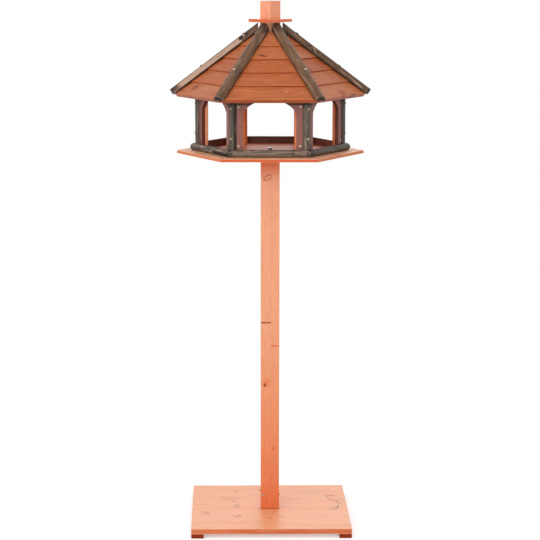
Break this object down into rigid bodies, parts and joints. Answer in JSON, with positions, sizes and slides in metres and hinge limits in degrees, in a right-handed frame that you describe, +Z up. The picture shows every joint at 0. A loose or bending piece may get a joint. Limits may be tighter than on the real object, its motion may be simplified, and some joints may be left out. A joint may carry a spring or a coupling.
{
  "type": "garden bird table",
  "caption": "Free-standing wooden bird table with a square post, a hexagonal open-sided feeding tray, dark half-round logs and a six-sided roof of lapped slats under a square cap.",
  "frame": {"origin": "middle of the base, under the post, on the ground", "axes": "+Z up along the post, -Y to the front of the table, +X to its right as seen from the front"},
  "size_m": [0.545, 0.4868, 1.44],
  "materials": {
    "base_pine": "satin red-brown glaze over planed pine",
    "post_pine": "satin red-brown glaze over planed pine",
    "cap_pine": "satin red-brown glaze over planed pine",
    "roof_pine": "satin red-brown glaze over planed pine",
    "frame_pine": "satin red-brown glaze over sawn pine",
    "bracket_pine": "satin brown glaze over planed pine",
    "dark_log": "dark brown glaze over a turned half-round log",
    "peg_wood": "plain hardwood",
    "zinc_screw": "yellow zinc plate",
    "zinc_bolt": "zinc plate"
  },
  "bodies": {
    "root": {"base_board": "base_pine", "foot_left": "base_pine", "foot_right": "base_pine", "foot_screws": "zinc_screw", "post_stave_left": "post_pine", "post_stave_right": "post_pine", "post_toe_screws": "zinc_screw", "post_bolts": "zinc_bolt", "bolt_washers": "zinc_bolt", "tray_board": "base_pine", "tray_screws": "zinc_screw", "wall_screws": "zinc_screw", "ridge_screws": "zinc_screw", "hip_rafters": "frame_pine", "king_post": "post_pine", "cap_plate": "cap_pine", "cap_block": "cap_pine", "cap_peg": "peg_wood", "tray_rail_back_right": "dark_log", "bracket_back_right_wall_left": "bracket_pine", "bracket_back_right_wall_right": "bracket_pine", "roof_slats_back_right": "roof_pine", "tray_rail_back": "dark_log", "bracket_back_wall_left": "bracket_pine", "bracket_back_wall_right": "bracket_pine", "roof_slats_back": "roof_pine", "tray_rail_back_left": "dark_log", "bracket_back_left_wall_left": "bracket_pine", "bracket_back_left_wall_right": "bracket_pine", "roof_slats_back_left": "roof_pine", "tray_rail_front_left": "dark_log", "bracket_front_left_wall_left": "bracket_pine", "bracket_front_left_wall_right": "bracket_pine", "roof_slats_front_left": "roof_pine", "tray_rail_front": "dark_log", "bracket_front_wall_left": "bracket_pine", "bracket_front_wall_right": "bracket_pine", "roof_slats_front": "roof_pine", "tray_rail_front_right": "dark_log", "bracket_front_right_wall_left": "bracket_pine", "bracket_front_right_wall_right": "bracket_pine", "roof_slats_front_right": "roof_pine", "corner_batten_right": "frame_pine", "corner_log_right": "dark_log", "ridge_log_right": "dark_log", "corner_batten_back_right": "frame_pine", "corner_log_back_right": "dark_log", "ridge_log_back_right": "dark_log", "corner_batten_back_left": "frame_pine", "corner_log_back_left": "dark_log", "ridge_log_back_left": "dark_log", "corner_batten_left": "frame_pine", "corner_log_left": "dark_log", "ridge_log_left": "dark_log", "corner_batten_front_left": "frame_pine", "corner_log_front_left": "dark_log", "ridge_log_front_left": "dark_log", "corner_batten_front_right": "frame_pine", "corner_log_front_right": "dark_log", "ridge_log_front_right": "dark_log"}
  },
  "joints": []
}
